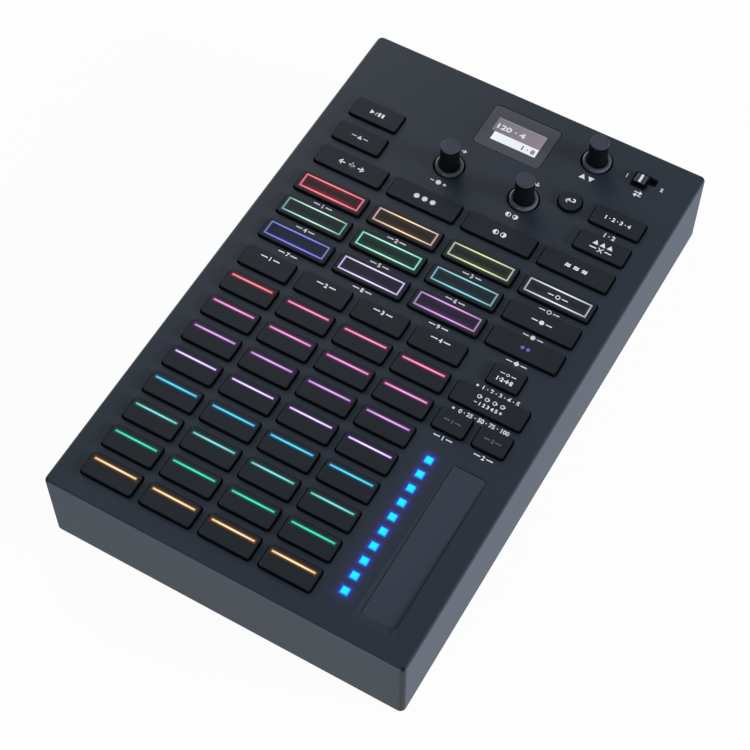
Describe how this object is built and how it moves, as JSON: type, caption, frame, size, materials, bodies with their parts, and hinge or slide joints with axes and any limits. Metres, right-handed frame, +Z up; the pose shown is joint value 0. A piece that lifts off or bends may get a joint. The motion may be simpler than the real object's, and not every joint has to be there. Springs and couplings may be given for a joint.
{
  "type": "dmx lighting controller",
  "caption": "Flat table-top lighting controller with light-up pads and keys, turning knobs, a display, a slide switch and a touch strip.",
  "frame": {"origin": "centre of the footprint, on the surface that the foot strips rest on", "axes": "+X to the user's right, +Y away from the user along the long side, towards the sockets, +Z up"},
  "size_m": [0.193, 0.315, 0.0646],
  "materials": {
    "case": "fine-textured moulded ABS",
    "cover": "satin powder coat on sheet steel",
    "key": "satin moulded cap",
    "knob": "satin moulded grip",
    "lever": "satin",
    "shaft": "turned",
    "encoder": "plated sheet steel",
    "switch_body": "plated sheet steel",
    "window": "tinted, satin",
    "display": "lit display cell",
    "strip": "satin film",
    "light_guide": "lit light guides",
    "board": "glass-fibre circuit board",
    "socket_shell": "nickel-plated steel shell",
    "socket_body": "glass-filled nylon",
    "foot": "matt"
  },
  "bodies": {
    "root": {"top_case": "case", "bottom_cover": "cover", "main_board": "board", "input_board": "board", "display_window": "window", "display_module": "display", "touch_strip": "strip", "level_light_bar": "light_guide", "speed_encoder": "encoder", "color_encoder": "encoder", "select_encoder": "encoder", "usb_select_switch": "switch_body", "usb_socket_1": "socket_shell", "usb_socket_2": "socket_shell", "dmx_socket_1": "socket_body", "dmx_socket_2": "socket_body", "front_foot_strip": "foot", "rear_foot_strip": "foot"},
    "pad_row_1": {"pad_row_1": "key"},
    "pad_row_2": {"pad_row_2": "key"},
    "pad_row_3": {"pad_row_3": "key"},
    "pad_row_4": {"pad_row_4": "key"},
    "pad_row_5": {"pad_row_5": "key"},
    "pad_row_6": {"pad_row_6": "key"},
    "pad_row_7": {"pad_row_7": "key"},
    "pad_row_8": {"pad_row_8": "key"},
    "position_key_1": {"position_key_1": "key"},
    "position_key_2": {"position_key_2": "key"},
    "position_key_3": {"position_key_3": "key"},
    "position_key_4": {"position_key_4": "key"},
    "position_key_5": {"position_key_5": "key"},
    "position_key_6": {"position_key_6": "key"},
    "position_key_7": {"position_key_7": "key"},
    "position_key_8": {"position_key_8": "key"},
    "position_key_9": {"position_key_9": "key"},
    "violet_key": {"violet_key": "key"},
    "black_key": {"black_key": "key"},
    "white_key": {"white_key": "key"},
    "movement_key": {"movement_key": "key"},
    "strobe_key": {"strobe_key": "key"},
    "hue_key": {"hue_key": "key"},
    "smoke_key": {"smoke_key": "key"},
    "intensity_key": {"intensity_key": "key"},
    "bank_key_1": {"bank_key_1": "key"},
    "bank_key_2": {"bank_key_2": "key"},
    "bank_key_3": {"bank_key_3": "key"},
    "bank_key_4": {"bank_key_4": "key"},
    "shift_key": {"shift_key": "key"},
    "override_key": {"override_key": "key"},
    "play_key": {"play_key": "key"},
    "tempo_key": {"tempo_key": "key"},
    "auto_loop_key": {"auto_loop_key": "key"},
    "group_key_left": {"group_key_left": "key"},
    "group_key_right": {"group_key_right": "key"},
    "back_button": {"back_button": "key"},
    "speed_knob": {"speed_knob": "knob"},
    "color_knob": {"color_knob": "knob"},
    "select_push": {"select_shaft": "shaft"},
    "select_knob": {"select_knob": "knob"},
    "usb_switch_lever": {"usb_switch_lever": "lever"}
  },
  "joints": [
    {"name": "pad_row_1_press", "type": "slide", "parent": "root", "child": "pad_row_1", "axis": [0, 0, -1], "range_m": [0, 0.0012], "stiffness_N_per_m": 600, "springref_m": -0.0015},
    {"name": "pad_row_2_press", "type": "slide", "parent": "root", "child": "pad_row_2", "axis": [0, 0, -1], "range_m": [0, 0.0012], "stiffness_N_per_m": 600, "springref_m": -0.0015},
    {"name": "pad_row_3_press", "type": "slide", "parent": "root", "child": "pad_row_3", "axis": [0, 0, -1], "range_m": [0, 0.0012], "stiffness_N_per_m": 600, "springref_m": -0.0015},
    {"name": "pad_row_4_press", "type": "slide", "parent": "root", "child": "pad_row_4", "axis": [0, 0, -1], "range_m": [0, 0.0012], "stiffness_N_per_m": 600, "springref_m": -0.0015},
    {"name": "pad_row_5_press", "type": "slide", "parent": "root", "child": "pad_row_5", "axis": [0, 0, -1], "range_m": [0, 0.0012], "stiffness_N_per_m": 600, "springref_m": -0.0015},
    {"name": "pad_row_6_press", "type": "slide", "parent": "root", "child": "pad_row_6", "axis": [0, 0, -1], "range_m": [0, 0.0012], "stiffness_N_per_m": 600, "springref_m": -0.0015},
    {"name": "pad_row_7_press", "type": "slide", "parent": "root", "child": "pad_row_7", "axis": [0, 0, -1], "range_m": [0, 0.0012], "stiffness_N_per_m": 600, "springref_m": -0.0015},
    {"name": "pad_row_8_press", "type": "slide", "parent": "root", "child": "pad_row_8", "axis": [0, 0, -1], "range_m": [0, 0.0012], "stiffness_N_per_m": 600, "springref_m": -0.0015},
    {"name": "position_key_1_press", "type": "slide", "parent": "root", "child": "position_key_1", "axis": [0, 0, -1], "range_m": [0, 0.0012], "stiffness_N_per_m": 400, "springref_m": -0.0015},
    {"name": "position_key_2_press", "type": "slide", "parent": "root", "child": "position_key_2", "axis": [0, 0, -1], "range_m": [0, 0.0012], "stiffness_N_per_m": 400, "springref_m": -0.0015},
    {"name": "position_key_3_press", "type": "slide", "parent": "root", "child": "position_key_3", "axis": [0, 0, -1], "range_m": [0, 0.0012], "stiffness_N_per_m": 400, "springref_m": -0.0015},
    {"name": "position_key_4_press", "type": "slide", "parent": "root", "child": "position_key_4", "axis": [0, 0, -1], "range_m": [0, 0.0012], "stiffness_N_per_m": 400, "springref_m": -0.0015},
    {"name": "position_key_5_press", "type": "slide", "parent": "root", "child": "position_key_5", "axis": [0, 0, -1], "range_m": [0, 0.0012], "stiffness_N_per_m": 400, "springref_m": -0.0015},
    {"name": "position_key_6_press", "type": "slide", "parent": "root", "child": "position_key_6", "axis": [0, 0, -1], "range_m": [0, 0.0012], "stiffness_N_per_m": 400, "springref_m": -0.0015},
    {"name": "position_key_7_press", "type": "slide", "parent": "root", "child": "position_key_7", "axis": [0, 0, -1], "range_m": [0, 0.0012], "stiffness_N_per_m": 400, "springref_m": -0.0015},
    {"name": "position_key_8_press", "type": "slide", "parent": "root", "child": "position_key_8", "axis": [0, 0, -1], "range_m": [0, 0.0012], "stiffness_N_per_m": 400, "springref_m": -0.0015},
    {"name": "position_key_9_press", "type": "slide", "parent": "root", "child": "position_key_9", "axis": [0, 0, -1], "range_m": [0, 0.0012], "stiffness_N_per_m": 400, "springref_m": -0.0015},
    {"name": "violet_key_press", "type": "slide", "parent": "root", "child": "violet_key", "axis": [0, 0, -1], "range_m": [0, 0.0012], "stiffness_N_per_m": 400, "springref_m": -0.0015},
    {"name": "black_key_press", "type": "slide", "parent": "root", "child": "black_key", "axis": [0, 0, -1], "range_m": [0, 0.0012], "stiffness_N_per_m": 400, "springref_m": -0.0015},
    {"name": "white_key_press", "type": "slide", "parent": "root", "child": "white_key", "axis": [0, 0, -1], "range_m": [0, 0.0012], "stiffness_N_per_m": 400, "springref_m": -0.0015},
    {"name": "movement_key_press", "type": "slide", "parent": "root", "child": "movement_key", "axis": [0, 0, -1], "range_m": [0, 0.0012], "stiffness_N_per_m": 400, "springref_m": -0.0015},
    {"name": "strobe_key_press", "type": "slide", "parent": "root", "child": "strobe_key", "axis": [0, 0, -1], "range_m": [0, 0.0012], "stiffness_N_per_m": 400, "springref_m": -0.0015},
    {"name": "hue_key_press", "type": "slide", "parent": "root", "child": "hue_key", "axis": [0, 0, -1], "range_m": [0, 0.0012], "stiffness_N_per_m": 400, "springref_m": -0.0015},
    {"name": "smoke_key_press", "type": "slide", "parent": "root", "child": "smoke_key", "axis": [0, 0, -1], "range_m": [0, 0.0012], "stiffness_N_per_m": 400, "springref_m": -0.0015},
    {"name": "intensity_key_press", "type": "slide", "parent": "root", "child": "intensity_key", "axis": [0, 0, -1], "range_m": [0, 0.0012], "stiffness_N_per_m": 400, "springref_m": -0.0015},
    {"name": "bank_key_1_press", "type": "slide", "parent": "root", "child": "bank_key_1", "axis": [0, 0, -1], "range_m": [0, 0.0012], "stiffness_N_per_m": 400, "springref_m": -0.0015},
    {"name": "bank_key_2_press", "type": "slide", "parent": "root", "child": "bank_key_2", "axis": [0, 0, -1], "range_m": [0, 0.0012], "stiffness_N_per_m": 400, "springref_m": -0.0015},
    {"name": "bank_key_3_press", "type": "slide", "parent": "root", "child": "bank_key_3", "axis": [0, 0, -1], "range_m": [0, 0.0012], "stiffness_N_per_m": 400, "springref_m": -0.0015},
    {"name": "bank_key_4_press", "type": "slide", "parent": "root", "child": "bank_key_4", "axis": [0, 0, -1], "range_m": [0, 0.0012], "stiffness_N_per_m": 400, "springref_m": -0.0015},
    {"name": "shift_key_press", "type": "slide", "parent": "root", "child": "shift_key", "axis": [0, 0, -1], "range_m": [0, 0.0012], "stiffness_N_per_m": 400, "springref_m": -0.0015},
    {"name": "override_key_press", "type": "slide", "parent": "root", "child": "override_key", "axis": [0, 0, -1], "range_m": [0, 0.0012], "stiffness_N_per_m": 400, "springref_m": -0.0015},
    {"name": "play_key_press", "type": "slide", "parent": "root", "child": "play_key", "axis": [0, 0, -1], "range_m": [0, 0.0012], "stiffness_N_per_m": 400, "springref_m": -0.0015},
    {"name": "tempo_key_press", "type": "slide", "parent": "root", "child": "tempo_key", "axis": [0, 0, -1], "range_m": [0, 0.0012], "stiffness_N_per_m": 400, "springref_m": -0.0015},
    {"name": "auto_loop_key_press", "type": "slide", "parent": "root", "child": "auto_loop_key", "axis": [0, 0, -1], "range_m": [0, 0.0012], "stiffness_N_per_m": 300, "springref_m": -0.0015},
    {"name": "group_key_left_press", "type": "slide", "parent": "root", "child": "group_key_left", "axis": [0, 0, -1], "range_m": [0, 0.0012], "stiffness_N_per_m": 300, "springref_m": -0.0015},
    {"name": "group_key_right_press", "type": "slide", "parent": "root", "child": "group_key_right", "axis": [0, 0, -1], "range_m": [0, 0.0012], "stiffness_N_per_m": 300, "springref_m": -0.0015},
    {"name": "back_button_press", "type": "slide", "parent": "root", "child": "back_button", "axis": [0, 0, -1], "range_m": [0, 0.0012], "stiffness_N_per_m": 300, "springref_m": -0.0015},
    {"name": "speed_turn", "type": "hinge", "parent": "root", "child": "speed_knob", "pos_m": [-0.0215, 0.09825, 0.0486], "axis": [0, 0, 1], "continuous": true},
    {"name": "color_turn", "type": "hinge", "parent": "root", "child": "color_knob", "pos_m": [0.0215, 0.09825, 0.0486], "axis": [0, 0, 1], "continuous": true},
    {"name": "select_press", "type": "slide", "parent": "root", "child": "select_push", "axis": [0, 0, -1], "range_m": [0, 0.0008], "stiffness_N_per_m": 1500, "springref_m": -0.001},
    {"name": "select_turn", "type": "hinge", "parent": "select_push", "child": "select_knob", "pos_m": [0.043, 0.1386, 0.0486], "axis": [0, 0, 1], "continuous": true},
    {"name": "usb_select_slide", "type": "slide", "parent": "root", "child": "usb_switch_lever", "axis": [1, 0, 0], "range_m": [0, 0.005]}
  ]
}
